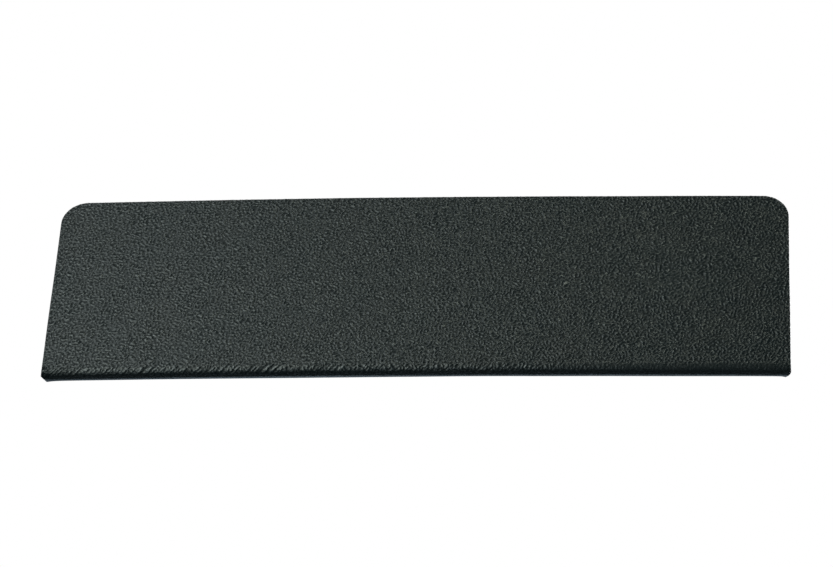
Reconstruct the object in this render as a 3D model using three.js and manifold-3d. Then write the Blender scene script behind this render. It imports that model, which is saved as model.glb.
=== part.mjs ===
// Kick plate: one formed sheet of textured black plastic, with two rounded upper
// corners and its lower edge bent rearward into a short return lip, carried on
// four strips of double-sided foam tape.
//
// Frame, in millimetres: X along the width, +Y from the textured front face
// towards the door, +Z up. The origin is the bottom centre of the sheet, midway
// between its front face and the lip's free edge.
import * as THREE from "three";
import { mergeVertices } from "three/addons/utils/BufferGeometryUtils.js";
import Module from "manifold-3d";

// ---- sheet dimensions ------------------------------------------------------
const WIDTH = 355.6; // end to end
const HEIGHT = 104.8; // underside of the lip to the upper edge
const SHEET_THICKNESS = 1.6;
const CORNER_RADIUS = 12.7; // upper corners
const CORNER_STEPS = 28; // facets round each upper corner
const LIP_DEPTH = 6.35; // front face to the lip's free edge
const BEND_RADIUS = 3.0; // outside of the bend
const BEND_STEPS = 20; // facets round the bend
const CLIP_LENGTH = 1.95; // how far each lip end is cut back at the free edge
const CLIP_START = 1.6; // depth behind the front face where that cut begins

// ---- tape dimensions -------------------------------------------------------
const TAPE_THICKNESS = 1.1;
const TAPE_WIDTH = 12.7;
const TAPE_INSET = 6.0; // strip edge to sheet edge
const TAPE_GAP = 3.0; // clear gap between an end strip and the long strips
const TAPE_CORNER_RADIUS = 0.8;
const TAPE_CORNER_STEPS = 4; // facets round each strip corner

// ---- shared positions ------------------------------------------------------
const HALF_WIDTH = WIDTH / 2;
const FRONT_Y = -LIP_DEPTH / 2; // front face
const BACK_Y = FRONT_Y + SHEET_THICKNESS; // back face, where the tape sticks
const FREE_EDGE_Y = FRONT_Y + LIP_DEPTH; // lip's free edge
const QUARTER_TURN = Math.PI / 2;

const wasm = await Module();
wasm.setup();

// ---- geometry helpers ------------------------------------------------------
// A closed three.js geometry as a manifold solid. Normals and UVs go first, so
// that vertices are merged by position alone.
function toSolid(geometry) {
  geometry.deleteAttribute("normal");
  geometry.deleteAttribute("uv");
  const merged = mergeVertices(geometry, 1e-5);
  const mesh = new wasm.Mesh({
    numProp: 3,
    vertProperties: new Float32Array(merged.attributes.position.array),
    triVerts: new Uint32Array(merged.index.array),
  });
  return new wasm.Manifold(mesh);
}

// A manifold solid, holding positions only, as a flat-shaded three.js geometry.
function toGeometry(solid) {
  const { vertProperties, triVerts } = solid.getMesh();
  const indexed = new THREE.BufferGeometry();
  indexed.setAttribute("position", new THREE.BufferAttribute(vertProperties, 3));
  indexed.setIndex(new THREE.BufferAttribute(triVerts, 1));
  const flat = indexed.toNonIndexed();
  flat.computeVertexNormals();
  return flat;
}

// Points on an arc from one quarter turn to another, both ends included.
function arc(centreU, centreV, radius, fromQuarter, toQuarter, steps) {
  const start = fromQuarter * QUARTER_TURN;
  const sweep = (toQuarter - fromQuarter) * QUARTER_TURN;
  return Array.from({ length: steps + 1 }, (_, i) => {
    const angle = start + (sweep * i) / steps;
    return [centreU + radius * Math.cos(angle), centreV + radius * Math.sin(angle)];
  });
}

function extrude(points, depth) {
  const shape = new THREE.Shape(points.map(([u, v]) => new THREE.Vector2(u, v)));
  shape.closePath();
  return new THREE.ExtrudeGeometry(shape, { depth, bevelEnabled: false, steps: 1 });
}

// Extrudes an outline in Y and Z along the sheet's whole width.
function extrudeAcross(points) {
  const toYZ = new THREE.Matrix4().set(
    0, 0, 1, -HALF_WIDTH,
    1, 0, 0, 0,
    0, 1, 0, 0,
    0, 0, 0, 1,
  );
  return toSolid(extrude(points, WIDTH).applyMatrix4(toYZ));
}

// Extrudes an outline in X and Z so that it ends at backY and runs forward.
function extrudeForward(points, depth, backY) {
  const toXZ = new THREE.Matrix4().set(
    1, 0, 0, 0,
    0, 0, -1, backY,
    0, 1, 0, 0,
    0, 0, 0, 1,
  );
  return toSolid(extrude(points, depth).applyMatrix4(toXZ));
}

// ---- formed sheet ----------------------------------------------------------
// Section in Y and Z: down the front face, round the bend, along the underside
// of the lip to its free edge, and back along the inner faces.
function bentBar() {
  const centreY = FRONT_Y + BEND_RADIUS;
  const centreZ = BEND_RADIUS;
  const innerRadius = BEND_RADIUS - SHEET_THICKNESS;
  return extrudeAcross([
    [FRONT_Y, HEIGHT],
    ...arc(centreY, centreZ, BEND_RADIUS, 2, 3, BEND_STEPS),
    [FREE_EDGE_Y, 0],
    [FREE_EDGE_Y, SHEET_THICKNESS],
    ...arc(centreY, centreZ, innerRadius, 3, 2, BEND_STEPS),
    [BACK_Y, HEIGHT],
  ]);
}

// Trimming block in X and Z that rounds the upper corners. It flares past the
// sheet's ends and underside below shoulderZ.
function cornerTrim() {
  const margin = 5;
  const shoulderZ = 20;
  const halfDepth = 10;
  const outerX = HALF_WIDTH + margin;
  const centreX = HALF_WIDTH - CORNER_RADIUS;
  const centreZ = HEIGHT - CORNER_RADIUS;
  const outline = [
    [-outerX, -margin],
    [outerX, -margin],
    [outerX, shoulderZ],
    [HALF_WIDTH, shoulderZ],
    ...arc(centreX, centreZ, CORNER_RADIUS, 0, 1, CORNER_STEPS),
    ...arc(-centreX, centreZ, CORNER_RADIUS, 1, 2, CORNER_STEPS),
    [-HALF_WIDTH, shoulderZ],
    [-outerX, shoulderZ],
  ];
  return extrudeForward(outline, 2 * halfDepth, halfDepth);
}

// Trimming block in X and Y that tapers the lip's ends towards its free edge.
function lipTrim() {
  const endMargin = 1; // past the sheet's ends
  const depthMargin = 2; // past the front face and the free edge
  const heightMargin = 10; // above and below the sheet
  const taper = CLIP_LENGTH / (LIP_DEPTH - CLIP_START);
  const outerX = HALF_WIDTH + endMargin;
  const rearX = HALF_WIDTH - CLIP_LENGTH - taper * depthMargin;
  const foreY = FRONT_Y - depthMargin;
  const clipY = FRONT_Y + CLIP_START;
  const rearY = FREE_EDGE_Y + depthMargin;
  const outline = [
    [-outerX, foreY],
    [outerX, foreY],
    [outerX, clipY],
    [HALF_WIDTH, clipY],
    [rearX, rearY],
    [-rearX, rearY],
    [-HALF_WIDTH, clipY],
    [-outerX, clipY],
  ];
  const block = extrude(outline, HEIGHT + 2 * heightMargin);
  return toSolid(block.translate(0, 0, -heightMargin));
}

function formedSheet() {
  return bentBar().intersect(cornerTrim()).intersect(lipTrim());
}

// ---- foam tape -------------------------------------------------------------
// A strip between two limits in X and two in Z, lying on the back face.
function tapeStrip(x0, x1, z0, z1) {
  const radius = TAPE_CORNER_RADIUS;
  const cornerCentres = [
    [x1 - radius, z0 + radius],
    [x1 - radius, z1 - radius],
    [x0 + radius, z1 - radius],
    [x0 + radius, z0 + radius],
  ];
  const outline = cornerCentres.flatMap(([x, z], i) =>
    arc(x, z, radius, i - 1, i, TAPE_CORNER_STEPS),
  );
  return extrudeForward(outline, TAPE_THICKNESS, BACK_Y + TAPE_THICKNESS);
}

const longX = HALF_WIDTH - CORNER_RADIUS; // half length of the long strips
const endOuterX = HALF_WIDTH - TAPE_INSET;
const endInnerX = endOuterX - TAPE_WIDTH;
const lowerZ = TAPE_INSET; // lower edge of the lower strip
const upperZ = HEIGHT - TAPE_INSET; // upper edge of the upper strip
const endLowZ = lowerZ + TAPE_WIDTH + TAPE_GAP;
const endHighZ = upperZ - TAPE_WIDTH - TAPE_GAP;

// Columns: name, then limits x0, x1, z0, z1. Left is -X, as seen from the front.
const TAPE_STRIPS = [
  ["tape_upper", -longX, longX, upperZ - TAPE_WIDTH, upperZ],
  ["tape_lower", -longX, longX, lowerZ, lowerZ + TAPE_WIDTH],
  ["tape_left", -endOuterX, -endInnerX, endLowZ, endHighZ],
  ["tape_right", endInnerX, endOuterX, endLowZ, endHighZ],
];

// ---- materials and assembly ------------------------------------------------
const BLACK_PLASTIC = { color: 0x2f3534, roughness: 0.55, metalness: 0 };
const PALE_FOAM = { color: 0xd9d8d2, roughness: 0.8, metalness: 0 };

const group = new THREE.Group();
group.name = "kick_plate";

function addPiece(name, solid, finish) {
  const mesh = new THREE.Mesh(toGeometry(solid), new THREE.MeshStandardMaterial(finish));
  mesh.name = name;
  group.add(mesh);
}

addPiece("formed_sheet", formedSheet(), BLACK_PLASTIC);
for (const [name, ...limits] of TAPE_STRIPS) {
  addPiece(name, tapeStrip(...limits), PALE_FOAM);
}

export default group;
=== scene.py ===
"""A black grained plastic plate with a lip along its foot and foam tape on its back.

The plate stands upright and is centred on x = 0. Its grained face looks towards
-Y and the lip turns back towards +Y at z = 0. Four foam strips lie on the smooth
back. Left and right mean -X and +X. Shapes are worked out in mm and built in
metres.
"""
import math

import bpy
import numpy as np
from mathutils import Matrix, Vector


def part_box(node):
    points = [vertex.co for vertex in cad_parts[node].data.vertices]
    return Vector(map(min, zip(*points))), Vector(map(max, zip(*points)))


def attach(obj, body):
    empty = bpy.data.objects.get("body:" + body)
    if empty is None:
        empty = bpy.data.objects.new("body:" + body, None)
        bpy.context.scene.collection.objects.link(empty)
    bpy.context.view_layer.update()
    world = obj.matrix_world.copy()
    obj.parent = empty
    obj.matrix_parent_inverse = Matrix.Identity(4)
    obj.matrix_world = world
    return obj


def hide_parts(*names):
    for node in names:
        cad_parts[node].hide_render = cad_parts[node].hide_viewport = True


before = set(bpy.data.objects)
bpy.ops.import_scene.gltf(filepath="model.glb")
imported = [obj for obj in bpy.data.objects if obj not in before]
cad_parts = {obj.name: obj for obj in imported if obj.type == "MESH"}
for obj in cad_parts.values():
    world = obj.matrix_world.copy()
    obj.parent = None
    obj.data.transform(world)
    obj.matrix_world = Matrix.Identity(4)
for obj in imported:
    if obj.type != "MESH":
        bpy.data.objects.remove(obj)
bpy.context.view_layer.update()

MM = 0.001

# ---------------------------------------------------------------------------
# Sizes, in mm
# ---------------------------------------------------------------------------
low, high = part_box("formed_sheet")
WIDTH = (high[0] - low[0]) / MM
HEIGHT = (high[2] - low[2]) / MM
LIP_DEPTH = (high[1] - low[1]) / MM
FRONT = low[1] / MM
HALF = WIDTH / 2
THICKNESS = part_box("tape_upper")[0][1] / MM - FRONT
CORNER_R = 12.7
BEND_R = 3.0
BOW = 1.80  # how far the middle stands forward of the two ends
EDGE_R = 0.32  # softened cut edges
FREE_R = 0.55  # the lip's free edge is rounder

# Developed coordinates: x across, s from the lip's free edge, round the bend
# and up the face
LIP_FLAT = LIP_DEPTH - BEND_R
BEND_ARC = 0.5 * math.pi * BEND_R
S_TOP = LIP_FLAT + BEND_ARC + HEIGHT - BEND_R

# ---------------------------------------------------------------------------
# Band-limited random fields on a fine lattice of the developed sheet
# ---------------------------------------------------------------------------
CELL = 0.2
MARGIN = 6  # lattice beyond the sheet, all round
CELLS_X = int((WIDTH + 2 * MARGIN) / CELL)
CELLS_S = int((S_TOP + 2 * MARGIN) / CELL)
FREQUENCY = np.hypot(
    np.fft.rfftfreq(CELLS_X, CELL)[None, :], np.fft.fftfreq(CELLS_S, CELL)[:, None]
)


def field(seed, wavelength, octaves):
    """A unit-variance field whose waves spread some octaves about one wavelength."""
    white = np.random.RandomState(seed).standard_normal((CELLS_S, CELLS_X))
    detune = np.log2(np.maximum(FREQUENCY, 1e-6) * wavelength) / octaves
    out = np.fft.irfft2(
        np.fft.rfft2(white) * np.exp(-0.5 * detune**2), s=(CELLS_S, CELLS_X)
    )
    out -= out.mean()
    return out / out.std()


def sample(lattice, x, s):
    """Bilinear reading of a field at developed coordinates."""
    u = np.clip((x + HALF + MARGIN) / CELL, 0, CELLS_X - 1.001)
    v = np.clip((s + MARGIN) / CELL, 0, CELLS_S - 1.001)
    i = u.astype(int)
    j = v.astype(int)
    a = u - i
    b = v - j
    return (
        lattice[j, i] * (1 - a) * (1 - b)
        + lattice[j, i + 1] * a * (1 - b)
        + lattice[j + 1, i] * (1 - a) * b
        + lattice[j + 1, i + 1] * a * b
    )


main_grain = field(seed=11, wavelength=1.85, octaves=0.50)
fine_grain = field(seed=12, wavelength=1.2, octaves=0.32)
broad_grain = field(seed=17, wavelength=4.2, octaves=0.60)
warp_x = field(seed=13, wavelength=6.0, octaves=0.5)
warp_s = field(seed=14, wavelength=6.0, octaves=0.5)
slow_swell = field(seed=15, wavelength=30.0, octaves=0.6)
edge_wander = field(seed=16, wavelength=60.0, octaves=0.5)


def smooth(u):
    u = np.clip(u, 0, 1)
    return u * u * (3 - 2 * u)


def rise(value, start, span):
    """0 up to start, easing to 1 over the span."""
    return smooth((value - start) / span)


def fall(value, end, span):
    """1 at first, easing over the span to 0 at the end."""
    return smooth((end - value) / span)


# ---------------------------------------------------------------------------
# The moulded grain
# ---------------------------------------------------------------------------
GRAIN = 0.098  # relief height scale
WARP = 0.28  # how far the grain is pushed about
# shares of the rounded main waves, the fine and broad waves, and the slow swell
MAIN_SHARE, MAIN_CLIP = 1.15, 0.75
FINE_SHARE, BROAD_SHARE, SWELL_SHARE = 0.29, 0.09, 0.07
STREAK_SHARE = 0.58
CRUSH_WIDTH, CRUSH_ROUGHNESS, CRUSH_DEPTH = 4.2, 0.11, 0.16


def relief(x, s):
    """Height of the grain above the mean surface."""
    warped = x + WARP * sample(warp_x, x, s), s + WARP * sample(warp_s, x, s)
    h = MAIN_SHARE * np.tanh(MAIN_CLIP * sample(main_grain, *warped))
    h = h + FINE_SHARE * sample(fine_grain, *warped) + BROAD_SHARE * sample(broad_grain, x, s)
    h = GRAIN * h * (1 + SWELL_SHARE * sample(slow_swell, x, s))
    # it nearly dies out at the free edge and is weaker along the lip
    h = h * (0.08 + 0.92 * rise(s, start=0.15, span=0.9))
    h = h * (0.55 + 0.45 * rise(s, start=2.6, span=2.4))
    # it is drawn out obliquely round the bend, towards the left
    drawn = rise(s, start=3.4, span=1.6) * fall(s, end=9.4, span=2.0)
    drawn = drawn * (1 - rise(x, start=10, span=120))
    streak = sample(main_grain, 0.74 * (x - s) + 31, 0.26 * (x + s))
    h = h * (1 - 0.15 * drawn) + STREAK_SHARE * GRAIN * drawn * streak
    # it is smoother round the bend towards the right end
    flattened = rise(x, start=20, span=110) * rise(s, start=2.4, span=1.6)
    h = h * (1 - 0.62 * flattened * fall(s, end=9.6, span=3.0))
    # it is crushed where the bend meets the left end
    crushed = np.exp(-(((x + HALF) / CRUSH_WIDTH) ** 2))
    crushed = crushed * rise(s, start=2.2, span=1.5) * fall(s, end=10.5, span=2.5)
    dent = CRUSH_ROUGHNESS * sample(broad_grain, x + 40, s) - CRUSH_DEPTH
    return h * (1 + 0.5 * crushed) + crushed * dent


def bow(x):
    """How far the bowed plate stands forward at x."""
    return BOW * (1 - (x / HALF) ** 2)


def place(x, s, depth):
    """Developed coordinates and depth below the outer surface, to x, y, z."""
    angle = np.clip((s - LIP_FLAT) / BEND_R, 0, math.pi / 2)
    radius = BEND_R - depth
    y = FRONT + BEND_R - radius * np.sin(angle)
    z = BEND_R - radius * np.cos(angle)
    y = y + np.maximum(LIP_FLAT - s, 0)
    z = z + np.maximum(s - LIP_FLAT - BEND_ARC, 0)
    return np.stack([x, y - bow(x), z], -1)


# ---------------------------------------------------------------------------
# Polylines, closed rings and grids
# ---------------------------------------------------------------------------
def run_length(line):
    """Distance along a polyline to each of its points."""
    return np.r_[0, np.cumsum(np.hypot(*np.diff(line, axis=0).T))]


def points_at(line, distance):
    run = run_length(line)
    return np.stack([np.interp(distance, run, line[:, k]) for k in (0, 1)], -1)


def resample(line, count):
    """count + 1 points evenly spaced along a polyline."""
    return points_at(line, np.linspace(0, run_length(line)[-1], count + 1))


def trim(line, length):
    """A polyline with a length taken off its start."""
    return np.vstack([points_at(line, length), line[run_length(line) > length]])


def bezier(start, control, end, count):
    u = np.linspace(0, 1, count)[:, None]
    return (1 - u) ** 2 * start + 2 * u * (1 - u) * control + u**2 * end


def inset(ring, distance):
    """An anticlockwise ring moved inward along its own normals."""
    tangent = np.roll(ring, -1, 0) - np.roll(ring, 1, 0)
    tangent /= np.linalg.norm(tangent, axis=1)[:, None]
    normal = np.stack([-tangent[:, 1], tangent[:, 0]], -1)
    return ring + normal * np.reshape(distance, (-1, 1))


def patch(ring, across, up):
    """Grid of points inside a ring (transfinite interpolation)."""
    bottom = ring[: across + 1]
    right = ring[across : across + up + 1]
    top = ring[across + up : 2 * across + up + 1][::-1]
    left = np.vstack([ring[2 * across + up :], ring[:1]])[::-1]
    u = np.linspace(0, 1, across + 1)[None, :, None]
    v = np.linspace(0, 1, up + 1)[:, None, None]
    return (
        (1 - v) * bottom[None]
        + v * top[None]
        + (1 - u) * left[:, None]
        + u * right[:, None]
        - (1 - u) * (1 - v) * bottom[0]
        - u * (1 - v) * bottom[-1]
        - (1 - u) * v * top[0]
        - u * v * top[-1]
    )


def boundary(grid):
    """The border of a grid as a ring, in the order patch() takes it."""
    return np.concatenate([grid[0, :-1], grid[:-1, -1], grid[-1, :0:-1], grid[:0:-1, 0]])


# Orders in which a face takes its corners. They also settle how each quad is
# split into triangles.
AS_MADE = [0, 1, 2, 3]
FLIPPED = [0, 3, 2, 1]
TURNED = [1, 2, 3, 0]


class Shell:
    """Points, faces and per-point values, gathered piece by piece."""

    def __init__(self):
        self.points = []
        self.quads = []
        self.values = {}
        self.count = 0

    def add(self, points, **values):
        """Add points with their attribute values, and return their indices."""
        index = self.count + np.arange(points[..., 0].size).reshape(points.shape[:-1])
        self.count += index.size
        self.points.append(points.reshape(-1, 3))
        for name, value in values.items():
            spread = np.broadcast_to(value, index.shape).ravel()
            self.values.setdefault(name, []).append(spread)
        return index

    def fill(self, grid, order=AS_MADE):
        """Faces over a grid of indices."""
        corners = grid[:-1, :-1], grid[:-1, 1:], grid[1:, 1:], grid[1:, :-1]
        self.quads.append(np.stack(corners, -1).reshape(-1, 4)[:, order])

    def band(self, ring, following, order=AS_MADE):
        """Faces between two rings of indices."""
        corners = ring, following, np.roll(following, -1), np.roll(ring, -1)
        self.quads.append(np.stack(corners, -1)[:, order])

    def build(self, name, tris=()):
        """A linked mesh object with its faces pointing outward."""
        points = np.vstack(self.points) * MM
        quads = np.vstack(self.quads)
        tris = np.asarray(tris, int).reshape(-1, 3)
        a, b, c = (
            points[np.r_[quads[:, i], quads[:, j], tris[:, k]]]
            for i, j, k in ((0, 0, 0), (1, 2, 1), (2, 3, 2))
        )
        if np.einsum("ij,ij->i", a, np.cross(b, c)).sum() < 0:
            quads, tris = quads[:, ::-1], tris[:, ::-1]
        corners = np.concatenate([quads.ravel(), tris.ravel()])
        starts = np.concatenate(
            [4 * np.arange(len(quads)), 4 * len(quads) + 3 * np.arange(len(tris))]
        )
        mesh = bpy.data.meshes.new(name)
        mesh.vertices.add(len(points))
        mesh.vertices.foreach_set("co", points.astype(np.float32).ravel())
        mesh.loops.add(len(corners))
        mesh.loops.foreach_set("vertex_index", corners.astype(np.int32))
        mesh.polygons.add(len(starts))
        mesh.polygons.foreach_set("loop_start", starts.astype(np.int32))
        mesh.update(calc_edges=True)
        mesh.validate()
        mesh.polygons.foreach_set("use_smooth", np.ones(len(mesh.polygons), bool))
        mesh.update()
        made = bpy.data.objects.new(name, mesh)
        bpy.context.scene.collection.objects.link(made)
        for attribute, parts in self.values.items():
            layer = mesh.attributes.new(attribute, "FLOAT", "POINT")
            layer.data.foreach_set("value", np.concatenate(parts).astype(np.float32))
        return made


# ---------------------------------------------------------------------------
# Outline of the sheet in developed coordinates
# ---------------------------------------------------------------------------
ACROSS, UP = 1080, 336  # grid cells over the outer surface
LEFT, RIGHT = -1, 1

# (s, how far the end is cut back there); below zero is a slight swell
END_CUT = {
    LEFT: [(-0.8, 1.82), (3.6, -0.42), (4.6, -0.30), (6.2, -0.08), (8.0, 0.0)],
    RIGHT: [(-0.75, 2.46), (0.9, 0.72), (1.7, 0.22), (3.4, -0.10), (5.0, -0.12), (8.0, 0.0)],
}
# the free edge runs on past its line near each end, dying away inward
EAR_RISE = 0.80
EAR_LENGTH = {LEFT: 2.6, RIGHT: 1.0}
TIP_TRIM = 0.45  # length rounded off each side of a free-edge corner

# (x, rise of the upper edge, outward swell of the free edge)
EDGE_WAVES = [
    (-178, -0.06, 0.12), (-133, -0.09, 0.22), (-94, 0.04, 0.32), (-54, 0.13, 0.55),
    (-15, 0.07, 0.38), (26, 0.06, 0.16), (65, -0.05, 0.18), (105, -0.10, 0.36),
    (145, -0.04, 0.16), (178, 0.0, 0.12),
]
WAVE_X, WAVE_TOP, WAVE_FREE = zip(*EDGE_WAVES)
WAVE_BLUR = 30  # half width of the smoothing window, in half millimetres


def ear(x, side):
    inward = HALF - END_CUT[side][0][1] - side * x
    return EAR_RISE * np.exp(-np.maximum(inward, 0) / EAR_LENGTH[side])


def end_line(side):
    """One end of the sheet, from the free edge up to the rounded top corner."""
    s = np.linspace(-EAR_RISE, S_TOP - CORNER_R, 1200)
    cut = np.interp(s, *np.transpose(END_CUT[side]))
    return np.stack([side * (HALF - cut), s], -1)


def outline_sides():
    """Four polylines: free edge, right end, top, left end, split mid corner."""
    left, right = end_line(LEFT), end_line(RIGHT)
    left_tip, right_tip = left[0], right[0]
    x = np.linspace(left_tip[0], right_tip[0], 6000)
    free = np.stack([x, -np.where(x < 0, ear(x, LEFT), ear(x, RIGHT))], -1)
    free = trim(trim(free, TIP_TRIM)[::-1], TIP_TRIM)[::-1]
    left, right = trim(left, TIP_TRIM), trim(right, TIP_TRIM)

    tip_mid = 4
    low_left = bezier(left[0], left_tip, free[0], 2 * tip_mid + 1)
    low_right = bezier(free[-1], right_tip, right[0], 2 * tip_mid + 1)
    top_mid = 30
    angle = np.linspace(0, math.pi / 2, 2 * top_mid + 1)
    top_right = np.stack(
        [HALF - CORNER_R + CORNER_R * np.cos(angle), S_TOP - CORNER_R + CORNER_R * np.sin(angle)],
        -1,
    )
    top_left = top_right * [-1, 1]
    return (
        np.vstack([low_left[tip_mid:], free[1:-1], low_right[: tip_mid + 1]]),
        np.vstack([low_right[tip_mid:-1], right, top_right[1 : top_mid + 1]]),
        np.vstack([top_left[top_mid:], top_right[: top_mid - 1 : -1]]),
        np.vstack([low_left[tip_mid:0:-1], left, top_left[1 : top_mid + 1]]),
    )


def edge_wave(heights, x):
    """A smoothed reading of one column of EDGE_WAVES."""
    even_x = np.linspace(WAVE_X[0], WAVE_X[-1], 713)
    even = np.interp(even_x, WAVE_X, heights)
    kernel = np.hanning(2 * WAVE_BLUR + 1)
    kernel /= kernel.sum()
    soft = np.convolve(np.pad(even, WAVE_BLUR, mode="edge"), kernel, "valid")
    return np.interp(x, even_x, soft)


def outline():
    """The sheet's outline as an anticlockwise ring, its edges not dead straight."""
    free, right, top, left = outline_sides()
    ring = np.vstack([
        resample(free, ACROSS)[:-1],
        resample(right, UP)[:-1],
        resample(top, ACROSS)[:0:-1],
        resample(left, UP)[:0:-1],
    ])
    x, s = ring.T
    inward = 0.03 * sample(edge_wander, x, s)
    inward = inward - edge_wave(WAVE_TOP, x) * rise(s, start=S_TOP - 3, span=2.5)
    inward = inward - edge_wave(WAVE_FREE, x) * fall(s, end=1.2, span=1.0)
    return inset(ring, inward)


# ---------------------------------------------------------------------------
# The formed sheet
# ---------------------------------------------------------------------------
INNER_STEP = 8  # the inner grid is this much coarser than the outer one
INNER_FINE_TO = 11.0  # but keeps every row up to this s, past the bend
INNER_INSET = EDGE_R + 0.7
SAW_ROUGHNESS = 0.02


def rubbed_at(x, s):
    """How much painted pale bluish highlight lies along the free edge, less towards the left end.
    """
    return fall(s, end=1.75, span=0.9) * (0.6 + 0.4 * rise(x, start=-178, span=90))


def edge_rows(radius):
    """Rows round the cut edge, from the outer surface to the inner one: inset,
    depth, share of the grain, share of the painted rim highlight, share of the saw marks."""
    rows = []
    for degrees in (15, 30, 45, 60, 90):
        sin, cos = math.sin(math.radians(degrees)), math.cos(math.radians(degrees))
        rows.append((radius * (1 - sin), radius * (1 - cos), cos, 1, int(degrees == 90)))
    for k in (1, 2):
        rows.append((0.0, radius + (THICKNESS - radius - EDGE_R) * k / 3, 0.0, 0, 1))
    for degrees in (90, 60, 30, 0):
        sin, cos = math.sin(math.radians(degrees)), math.cos(math.radians(degrees))
        rows.append((EDGE_R * (1 - sin), THICKNESS - EDGE_R * (1 - cos), 0.0, 0, 0))
    return rows


def stitch(fine_ring, coarse_ring, places):
    """Triangles between a fine ring and a coarse one, given the place on the
    fine ring of each coarse point."""
    tris = []
    count = len(fine_ring)
    following = np.roll(coarse_ring, -1)
    for a, b, start, end in zip(coarse_ring, following, places, np.r_[places[1:], count]):
        middle = (start + end) // 2
        for k in range(start, end):
            near = a if k < middle else b
            tris.append((near, fine_ring[(k + 1) % count], fine_ring[k]))
        tris.append((a, b, fine_ring[middle]))
    return tris


def build_sheet():
    shell = Shell()
    rim = outline()
    rim_x, rim_s = rim.T
    radius = EDGE_R + (FREE_R - EDGE_R) * fall(rim_s, end=2.2, span=1.6)

    # outer, grained surface
    grid = patch(inset(rim, radius), ACROSS, UP)
    x, s = grid[..., 0], grid[..., 1]
    height = relief(x, s)
    index = shell.add(
        place(x, s, -height), zone=0.0, grain=height / GRAIN, rubbed=rubbed_at(x, s)
    )
    shell.fill(index)
    ring = boundary(index)

    # rounded cut edge
    saw = SAW_ROUGHNESS * sample(fine_grain, rim_x, rim_s)
    for inward, depth, grain_share, rim_highlight_share, saw_share in edge_rows(radius):
        x, s = inset(rim, inward + saw * saw_share).T
        points = place(x, s, depth - relief(x, s) * grain_share)
        following = shell.add(points, zone=0.5, grain=0.0, rubbed=rubbed_at(x, s) * rim_highlight_share)
        shell.band(ring, following)
        ring = following

    # smooth inner surface on a coarser grid
    columns = np.arange(0, ACROSS + 1, INNER_STEP)
    fine_rows = int(UP * INNER_FINE_TO / S_TOP)
    rows = np.unique(np.r_[np.arange(0, fine_rows), np.arange(fine_rows, UP, INNER_STEP), UP])
    if UP - rows[-2] < INNER_STEP // 2:
        rows = np.delete(rows, -2)
    grid = patch(inset(rim, INNER_INSET), ACROSS, UP)[np.ix_(rows, columns)]
    points = place(grid[..., 0], grid[..., 1], THICKNESS)
    index = shell.add(points, zone=1.0, grain=0.0, rubbed=0.0)
    shell.fill(index, FLIPPED)
    places = np.concatenate([
        columns[:-1],
        ACROSS + rows[:-1],
        2 * ACROSS + UP - columns[:0:-1],
        2 * ACROSS + 2 * UP - rows[:0:-1],
    ])
    return shell.build("formed_sheet_grained", stitch(ring, boundary(index), places))


# ---------------------------------------------------------------------------
# Foam tape strips: cut slabs with slightly uneven edges, following the bow
# ---------------------------------------------------------------------------
TAPE_STEP = 1.27
TAPE_CORNER_R = 0.9
TAPE_INSET = 0.12  # mean inset of the cut edge from the box
SKIN_INSET, BACKING_INSET = 0.16, 0.3


def tape_ring(x0, x1, z0, z1, cells_x, cells_z):
    """A rounded rectangle, anticlockwise seen from the front."""
    radius = TAPE_CORNER_R
    corners = []
    for x, z, start in (
        (x0 + radius, z0 + radius, math.pi),
        (x1 - radius, z0 + radius, -math.pi / 2),
        (x1 - radius, z1 - radius, 0),
        (x0 + radius, z1 - radius, math.pi / 2),
    ):
        angle = np.linspace(start, start + math.pi / 2, 7)
        corners.append(np.stack([x + radius * np.cos(angle), z + radius * np.sin(angle)], -1))
    sides = []
    for k, cells in enumerate((cells_x, cells_z, cells_x, cells_z)):
        line = np.vstack([corners[k][3:], corners[(k + 1) % 4][:4]])
        sides.append(resample(line, cells)[:-1])
    return np.vstack(sides)


def build_tape(node, seed):
    (x0, y0, z0), (x1, y1, z1) = [[c / MM for c in p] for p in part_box(node)]
    thick = y1 - y0
    cells_x = max(4, int(round((x1 - x0) / TAPE_STEP)))
    cells_z = max(4, int(round((z1 - z0) / TAPE_STEP)))
    random = np.random.RandomState(seed)
    rim = tape_ring(x0, x1, z0, z1, cells_x, cells_z)
    # knife wander along the cut edges, in a long wave and a short one
    run = run_length(rim)
    wander = 0.06 * np.sin(run / 17.0 + random.uniform(0, 6))
    wander = wander + 0.05 * np.sin(run / 5.3 + random.uniform(0, 6))
    rim = inset(rim, TAPE_INSET + wander * 0.8)

    def lift(points, depth):
        """Points in x, z set at a depth behind the sheet's inner surface."""
        x, z = points[..., 0], points[..., 1]
        return np.stack([x, y0 + depth - bow(x), z], -1)

    # adhesive face, very slightly dimpled, at the rear
    shell = Shell()
    face = patch(inset(rim, SKIN_INSET), cells_x, cells_z)
    dimple = 0.018 * sample(warp_x, face[..., 0], face[..., 1])
    dimple = dimple + 0.012 * sample(main_grain, face[..., 0], face[..., 1])
    index = shell.add(lift(face, thick - 0.03 + dimple), skin=1.0)
    shell.fill(index)
    ring = boundary(index)

    # cut edge: (inset, depth, roughness) from the adhesive face to the sheet
    for inward, depth, rough in (
        (0.05, thick - 0.08, 0),
        (0.0, thick - 0.2, 0.03),
        (0.05, thick * 0.72, 0.03),
        (0.09, thick * 0.5, 0.03),
        (0.05, thick * 0.28, 0.03),
        (0.0, 0.12, 0.03),
        (0.03, 0.0, 0),
    ):
        if rough:
            inward = inward + rough * random.standard_normal(len(rim))
        following = shell.add(lift(inset(rim, inward), depth), skin=0.0)
        shell.band(ring, following, TURNED)
        ring = following

    # side against the sheet
    backing = patch(inset(rim, BACKING_INSET), cells_x, cells_z)
    index = shell.add(lift(backing, 0.0), skin=0.0)
    shell.fill(index, FLIPPED)
    shell.band(ring, boundary(index), TURNED)
    return shell.build(node + "_foam")


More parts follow.
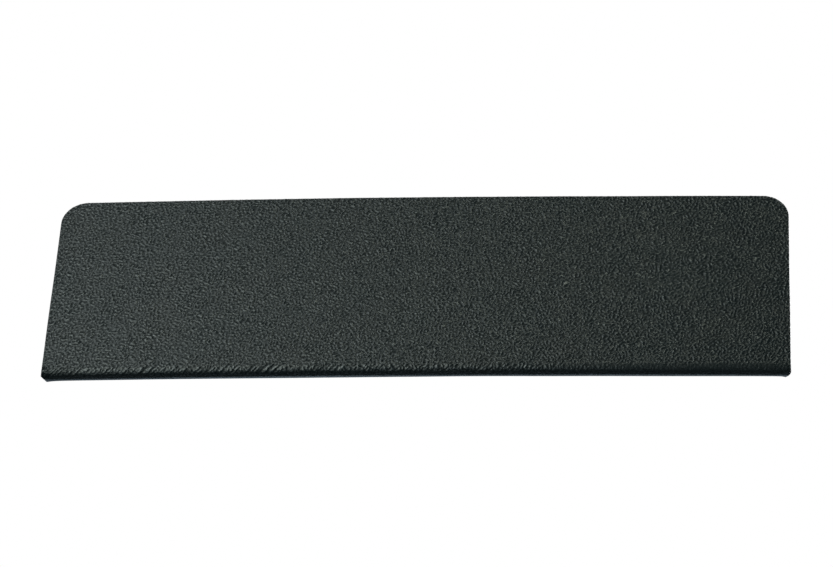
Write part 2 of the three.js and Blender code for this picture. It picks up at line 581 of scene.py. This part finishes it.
# ---------------------------------------------------------------------------
# Shader nodes
# ---------------------------------------------------------------------------
class Nodes:
    """A node tree, emptied, with its output and texture coordinates."""

    def __init__(self, tree, output, coordinates):
        self.tree = tree
        tree.nodes.clear()
        self.surface = self.add(output).inputs["Surface"]
        self.coords = self.add("TexCoord").outputs[coordinates]

    def add(self, kind, inputs=None, **settings):
        """A node with its settings, and its inputs linked or given values."""
        node = self.tree.nodes.new("ShaderNode" + kind)
        for name, value in settings.items():
            setattr(node, name, value)
        for key, value in (inputs or {}).items():
            self.put(value, node.inputs[key])
        return node

    def put(self, value, socket):
        if isinstance(value, bpy.types.NodeSocket):
            self.tree.links.new(value, socket)
        elif socket.type == "RGBA":
            socket.default_value = (*value, 1.0)
        else:
            socket.default_value = value

    def attribute(self, name):
        return self.add("Attribute", attribute_name=name).outputs["Fac"]

    def noise(self, scale, detail, rough, stretch=None):
        coords = self.coords
        if stretch:
            coords = self.add("Mapping", {"Scale": stretch, "Vector": coords}).outputs[0]
        settings = {"Scale": scale, "Detail": detail, "Roughness": rough, "Vector": coords}
        return self.add("TexNoise", settings).outputs["Fac"]

    def remap(self, value, source, target=(0.0, 1.0)):
        """A value carried, clamped, from one range to another."""
        limits = {
            "From Min": source[0], "From Max": source[1],
            "To Min": target[0], "To Max": target[1],
            "Value": value,
        }
        return self.add("MapRange", limits).outputs["Result"]

    def cloud(self, source, target=(0.0, 1.0), **noise):
        """Noise with part of its range remapped."""
        return self.remap(self.noise(**noise), source, target)

    def maths(self, operation, a, b):
        return self.add("Math", {0: a, 1: b}, operation=operation).outputs[0]

    def mix(self, factor, a, b):
        return self.add("Mix", {0: factor, 2: a, 3: b}).outputs[0]

    def mix_colour(self, factor, a, b):
        return self.add("Mix", {0: factor, 6: a, 7: b}, data_type="RGBA").outputs[2]

    def mix_shader(self, factor, a, b):
        return self.add("MixShader", {0: factor, 1: a, 2: b}).outputs["Shader"]

    def bump(self, height, strength, distance):
        settings = {"Strength": strength, "Distance": distance, "Height": height}
        return self.add("Bump", settings).outputs["Normal"]

    def principled(self, inputs):
        return self.add("BsdfPrincipled", inputs).outputs["BSDF"]


def material(name):
    made = bpy.data.materials.new(name)
    made.use_nodes = True
    return made, Nodes(made.node_tree, output="OutputMaterial", coordinates="Object")


# ---------------------------------------------------------------------------
# Materials
# ---------------------------------------------------------------------------
def plastic_face_colour(nodes, grain):
    """Near-black with a green-grey cast, with painted shade darkening the grain's valleys so the
    crests read paler, mottled, specked.
    """
    # painted shade: the valleys of the grain take the darker colour, the crests the paler one
    valley_shade_mix = nodes.remap(grain, source=(-0.6, 0.8))
    colour = nodes.mix_colour(valley_shade_mix, (0.0046, 0.0086, 0.0096), (0.0128, 0.0198, 0.0206))
    mottle = nodes.cloud(source=(0.3, 0.7), target=(0.0, 0.45), scale=45.0, detail=3.0, rough=0.6)
    colour = nodes.mix_colour(mottle, colour, (0.0120, 0.0145, 0.0140))
    speck = nodes.cloud(
        source=(0.62, 0.78), target=(0.0, 0.35), scale=900.0, detail=2.0, rough=0.6
    )
    return nodes.mix_colour(speck, colour, (0.030, 0.034, 0.032))


def plastic_relief(nodes, by_zone):
    """Fine relief on top of the modelled grain, and on the edge and the back."""

    def weighted(weight, **noise):
        return nodes.maths("MULTIPLY", nodes.noise(**noise), weight)

    face = nodes.maths(
        "ADD",
        weighted(0.35, scale=1500.0, detail=3.0, rough=0.65),
        weighted(0.65, scale=620.0, detail=2.0, rough=0.5),
    )
    saw = nodes.noise(scale=2600.0, detail=2.0, rough=0.6, stretch=(1.0, 0.12, 1.0))
    rolled = nodes.maths(
        "ADD",
        weighted(0.7, scale=1400.0, detail=3.0, rough=0.6, stretch=(0.03, 1.0, 1.0)),
        weighted(0.5, scale=1300.0, detail=2.0, rough=0.5),
    )
    back = nodes.maths("ADD", weighted(0.9, scale=120.0, detail=2.0, rough=0.5), rolled)
    return nodes.bump(by_zone(face, saw, back), strength=0.55, distance=0.00004)


def black_plastic():
    made, nodes = material("black_grained_plastic")
    zone = nodes.attribute("zone")  # 0 grained face, 0.5 cut edge, 1 smooth back
    grain = nodes.attribute("grain")  # height of the grain
    rubbed = nodes.attribute("rubbed")
    off_edge = nodes.maths("ABSOLUTE", nodes.maths("SUBTRACT", zone, 0.5), 0.0)
    edge = nodes.remap(off_edge, source=(0.5, 0.1))
    back = nodes.remap(zone, source=(0.6, 0.95))

    def by_zone(on_face, on_edge, on_back):
        return nodes.mix(back, nodes.mix(edge, on_face, on_edge), on_back)

    # the cut edges are greyer, and a painted pale highlight lies unevenly along the free edge
    edge_colour = nodes.mix_colour(
        nodes.cloud(source=(0.35, 0.7), scale=700.0, detail=3.0, rough=0.7),
        (0.016, 0.017, 0.016),
        (0.050, 0.050, 0.046),
    )
    back_colour = nodes.mix_colour(
        nodes.cloud(source=(0.35, 0.7), scale=30.0, detail=4.0, rough=0.6),
        (0.010, 0.0115, 0.0115),
        (0.019, 0.021, 0.020),
    )
    colour = nodes.mix_colour(edge, plastic_face_colour(nodes, grain), edge_colour)
    # painted highlight: a pale bluish colour along the free edge, made uneven by a cloud
    rim_highlight_unevenness = nodes.cloud(source=(0.3, 0.7), target=(0.65, 1.0), scale=380.0, detail=3.0, rough=0.6)
    painted_rim_mix = nodes.maths("MULTIPLY", rubbed, rim_highlight_unevenness)
    colour = nodes.mix_colour(painted_rim_mix, colour, (0.27, 0.335, 0.395))
    colour = nodes.mix_colour(back, colour, back_colour)

    # the crests are a little burnished
    face_roughness = nodes.maths(
        "ADD",
        nodes.remap(grain, source=(-0.9, 0.9), target=(0.33, 0.20)),
        nodes.cloud(source=(0.25, 0.75), target=(-0.03, 0.05), scale=260.0, detail=3.0, rough=0.6),
    )
    back_roughness = nodes.cloud(
        source=(0.3, 0.7), target=(0.30, 0.44), scale=60.0, detail=4.0, rough=0.65
    )
    # the valleys of the grain shine less, and small facets on the crests more
    face_shine = nodes.maths(
        "MULTIPLY",
        nodes.remap(grain, source=(-0.9, 0.9), target=(0.15, 0.56)),
        nodes.cloud(source=(0.42, 0.70), target=(0.88, 1.35), scale=1050.0, detail=1.0, rough=0.4),
    )
    shader = nodes.principled({
        "Base Color": colour,
        "Roughness": by_zone(face_roughness, 0.32, back_roughness),
        "IOR": 1.53,
        "Specular IOR Level": by_zone(face_shine, 0.4, 0.5),
        "Specular Tint": (0.885, 1.0, 0.985),
        "Normal": plastic_relief(nodes, by_zone),
    })
    nodes.put(shader, nodes.surface)
    return made


def foam_tape():
    made, nodes = material("foam_tape_offwhite")
    skin = nodes.attribute("skin")  # 1 on the adhesive face, 0 on the cut foam
    voronoi = nodes.add("TexVoronoi", {"Scale": 3800.0, "Vector": nodes.coords})
    cells = voronoi.outputs["Distance"]
    foam_colour = nodes.mix_colour(
        nodes.remap(cells, source=(0.05, 0.6)), (0.46, 0.45, 0.40), (0.74, 0.73, 0.68)
    )
    skin_colour = nodes.mix_colour(
        nodes.cloud(source=(0.3, 0.7), scale=55.0, detail=4.0, rough=0.6),
        (0.62, 0.585, 0.51),
        (0.76, 0.725, 0.645),
    )
    dust = nodes.cloud(source=(0.62, 0.75), target=(0.0, 0.5), scale=420.0, detail=3.0, rough=0.7)
    skin_colour = nodes.mix_colour(dust, skin_colour, (0.42, 0.41, 0.37))
    skin_roughness = nodes.cloud(
        source=(0.3, 0.7), target=(0.34, 0.58), scale=90.0, detail=4.0, rough=0.6
    )
    skin_height = nodes.maths(
        "ADD",
        nodes.maths("MULTIPLY", cells, 0.25),
        nodes.noise(scale=700.0, detail=3.0, rough=0.6),
    )
    height = nodes.mix(skin, cells, skin_height)
    shader = nodes.principled({
        "Base Color": nodes.mix_colour(skin, foam_colour, skin_colour),
        "Roughness": nodes.mix(skin, 0.9, skin_roughness),
        "Normal": nodes.bump(height, strength=0.6, distance=0.00012),
    })
    nodes.put(shader, nodes.surface)
    return made


def floor_material():
    """Pale and matt from above; from below it lets the camera see through."""
    made, nodes = material("pale_floor")
    colour = nodes.mix_colour(
        nodes.cloud(source=(0.3, 0.7), scale=2.0, detail=3.0, rough=0.5),
        (0.80, 0.775, 0.75),
        (0.84, 0.815, 0.79),
    )
    matt = nodes.principled({"Base Color": colour, "Roughness": 0.9, "Specular IOR Level": 0.2})
    # it glows more with distance, and so runs into the white backdrop without
    # a horizon
    length = nodes.add("VectorMath", {0: nodes.coords}, operation="LENGTH")
    far = length.outputs["Value"]
    strength = nodes.remap(far, source=(0.3, 1.5), target=(0.86, 1.0))
    glow = nodes.add("Emission", {"Color": (1, 1, 1), "Strength": strength})
    glow_share = nodes.remap(far, source=(0.25, 1.3), target=(0.52, 1.0))
    paper = nodes.mix_shader(glow_share, matt, glow.outputs["Emission"])
    backfacing = nodes.add("NewGeometry").outputs["Backfacing"]
    clear = nodes.add("BsdfTransparent").outputs["BSDF"]
    nodes.put(nodes.mix_shader(backfacing, paper, clear), nodes.surface)
    return made


# ---------------------------------------------------------------------------
# Pieces
# ---------------------------------------------------------------------------
def finish_piece(piece, look, node):
    """Give a piece its material and its place in the frame."""
    piece.data.materials.append(look)
    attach(piece, "root")
    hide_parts(node)


sheet = build_sheet()
finish_piece(sheet, black_plastic(), "formed_sheet")

tape_look = foam_tape()
for k, name in enumerate(("tape_upper", "tape_lower", "tape_left", "tape_right")):
    finish_piece(build_tape(name, seed=40 + k), tape_look, name)

# ---------------------------------------------------------------------------
# Floor and world
# ---------------------------------------------------------------------------
bpy.ops.mesh.primitive_plane_add(size=6.0, location=(0, 0, -0.0003))
floor = bpy.context.object
floor.name = "floor"
floor.data.materials.append(floor_material())
floor.visible_diffuse = False
floor.visible_glossy = False
floor.visible_shadow = False

scene = bpy.context.scene
scene.view_settings.view_transform = "Standard"
scene.view_settings.look = "None"


def studio_world():
    """White to the camera. To the plate, a room nearly dark in front, dim low
    down behind, and white above that."""
    world = bpy.data.worlds.new("studio")
    scene.world = world
    world.use_nodes = True
    nodes = Nodes(world.node_tree, output="OutputWorld", coordinates="Generated")
    white = nodes.add("Background", {"Color": (1, 1, 1), "Strength": 1.0})
    direction = nodes.add("SeparateXYZ", {0: nodes.coords}).outputs
    behind = nodes.maths(
        "MULTIPLY",
        nodes.remap(direction["Y"], source=(0.10, 0.5)),
        nodes.remap(direction["Z"], source=(-0.25, 0.15)),
    )
    brightness, floor_level = 1.0, 0.02  # of the lit part, and everywhere
    strength = nodes.maths("ADD", nodes.maths("MULTIPLY", behind, brightness), floor_level)
    room = nodes.add("Background", {"Color": (0.80, 0.95, 1.08), "Strength": strength})
    seen = nodes.add("LightPath").outputs["Is Camera Ray"]
    nodes.put(nodes.mix_shader(seen, room.outputs[0], white.outputs[0]), nodes.surface)


studio_world()

# ---------------------------------------------------------------------------
# Camera. Its pose is in plate widths, with Y up and Z towards the viewer, from
# the middle of the plate's foot at the front.
# ---------------------------------------------------------------------------
LENS = 165.28451  # mm, on the sensor width below
SENSOR_WIDTH = 36.0
TILT, PAN, ROLL = (math.radians(a) for a in (-38.129, -5.131, 0.494))
PIVOT = np.array([0.0, 0.1, 0.0])  # the point the camera turns about
PIVOT_IN_VIEW = np.array([-0.00042, -0.03759, -5.13771])  # that point, from the camera


def view_rotation(tilt, pan, roll):
    """Rotation from plate axes to camera axes."""
    cx, sx = math.cos(tilt), math.sin(tilt)
    cy, sy = math.cos(pan), math.sin(pan)
    cz, sz = math.cos(roll), math.sin(roll)
    about_x = np.array([[1, 0, 0], [0, cx, -sx], [0, sx, cx]])
    about_y = np.array([[cy, 0, sy], [0, 1, 0], [-sy, 0, cy]])
    about_z = np.array([[cz, -sz, 0], [sz, cz, 0], [0, 0, 1]])
    return about_z @ about_y @ about_x


def to_frame(v):
    """Y up to Z up."""
    return np.array([v[0], -v[2], v[1]])


def add_camera():
    rotation = view_rotation(TILT, PAN, ROLL)
    eye = PIVOT - rotation.T @ PIVOT_IN_VIEW
    pose = np.eye(4)
    pose[:3, :3] = np.column_stack([to_frame(axis) for axis in rotation])
    pose[:3, 3] = to_frame(eye) * (WIDTH * MM) + np.array([0, FRONT * MM, 0])
    data = bpy.data.cameras.new("camera")
    data.sensor_fit = "HORIZONTAL"
    data.sensor_width = SENSOR_WIDTH
    data.lens = LENS
    data.clip_start = 0.01
    data.clip_end = 50.0
    camera = bpy.data.objects.new("camera", data)
    scene.collection.objects.link(camera)
    camera.matrix_world = Matrix(pose.tolist())
    scene.camera = camera


add_camera()

# ---------------------------------------------------------------------------
# Lights
# ---------------------------------------------------------------------------
LOOK_AT = Vector((0.0, FRONT * MM, 0.05))
PANEL_DISTANCE = 2.0

WHITE = (1, 1, 1)
WARM = (0.985, 1.0, 0.985)
MIDDLE = (0.97, 1.0, 1.06)
LOW_WARM = (1.0, 1.0, 0.92)
LOW_COOL = (0.93, 1.0, 1.04)
WARMER = (1.0, 0.99, 0.84)
COOL = (0.78, 0.94, 1.12)

# name, azimuth from and to (from straight in front towards +X), elevation from
# and to, all in degrees, radiance, colour
PANELS = [
    # a tall softbox on the left, dimmer towards its foot
    ("box_foot_outer", -60, -40, -75, -45, 0.6, WARM),
    ("box_foot", -40, -24, -75, -45, 0.8, LOW_COOL),
    ("box_foot_inner", -24, -9, -75, -45, 0.92, LOW_COOL),
    ("box_low_outer", -60, -40, -45, -20, 1.4, WARM),
    ("box_low", -40, -20, -45, -20, 3.6, LOW_WARM),
    ("box_low_inner", -20, -8, -45, -20, 1.95, LOW_COOL),
    ("box_outer", -40, -22, -20, 22, 4.2, WARM),
    ("box_inner", -22, -7, -20, 22, 2.6, LOW_WARM),
    ("box_outer_top", -40, -24, 22, 50, 1.55, WHITE),
    ("box_side", -90, -40, -20, 50, 0.38, WHITE),
    ("box_top_a", -24, -16, 22, 30, 3.5, WARM),
    ("box_top_b", -16, -10, 22, 30, 2.1, WARM),
    # its upper part fading to the right, with one small bright panel
    ("fade_a", -24, -16, 30, 36, 1.6, WHITE),
    ("fade_b", -16, -10, 30, 36, 1.3, MIDDLE),
    ("fade_c", -10, -5, 30, 36, 0.7, MIDDLE),
    ("fade_d", -5, 14, 30, 36, 0.4, WHITE),
    ("fade_e", -24, -16, 36, 42, 0.9, WHITE),
    ("fade_f", -16, -10, 36, 42, 0.55, MIDDLE),
    ("fade_g", -10, -5, 36, 42, 0.55, MIDDLE),
    ("fade_h", -5, 14, 36, 42, 0.35, WARMER),
    ("spark", -1, 5, 35.5, 40.5, 9.0, WARMER),
    ("fade_i", -24, -10, 42, 50, 0.54, WHITE),
    ("fade_j", -10, 14, 42, 50, 0.7, WARMER),
    # a pale ceiling
    ("ceiling", -10, 15, 50, 75, 0.35, WHITE),
    # dim light from below and behind
    ("below", -40, 40, -90, -76, 0.07, COOL),
    ("below_behind", 140, 220, -80, -55, 0.09, COOL),
    ("behind_low", 140, 220, -35, -15, 0.15, COOL),
    ("behind_level", 140, 220, -15, 10, 0.3, COOL),
    ("behind_high", 140, 220, 20, 60, 0.8, WHITE),
]


def area(name, location, target, size, power, colour=WHITE, height=None):
    """An area light aimed at a target; a rectangle if it has a height."""
    light = bpy.data.lights.new(name, "AREA")
    light.energy = power
    light.color = colour
    light.size = size
    if height:
        light.shape = "RECTANGLE"
        light.size_y = height
    lamp = bpy.data.objects.new(name, light)
    scene.collection.objects.link(lamp)
    lamp.location = location
    aim = Vector(target) - Vector(location)
    lamp.rotation_euler = aim.to_track_quat("-Z", "Y").to_euler()
    lamp.visible_camera = False


def panel(name, az0, az1, el0, el1, radiance, colour):
    """A soft panel that fills these azimuths and elevations, seen from the plate."""
    azimuth, elevation = math.radians((az0 + az1) / 2), math.radians((el0 + el1) / 2)
    narrowing = max(math.cos(elevation), 0.25)
    width = 2 * PANEL_DISTANCE * math.tan(math.radians((az1 - az0) / 2)) * narrowing
    height = 2 * PANEL_DISTANCE * math.tan(math.radians((el1 - el0) / 2))
    direction = Vector((
        math.sin(azimuth) * math.cos(elevation),
        -math.cos(azimuth) * math.cos(elevation),
        math.sin(elevation),
    ))
    area(
        name,
        location=LOOK_AT + direction * PANEL_DISTANCE,
        target=LOOK_AT,
        size=width,
        power=math.pi * width * height * radiance,
        colour=colour,
        height=height,
    )


for row in PANELS:
    panel(*row)
area("back_fill", location=(0.7, 1.1, 0.9), target=(0, 0, 0.05), size=0.9, power=16.0)
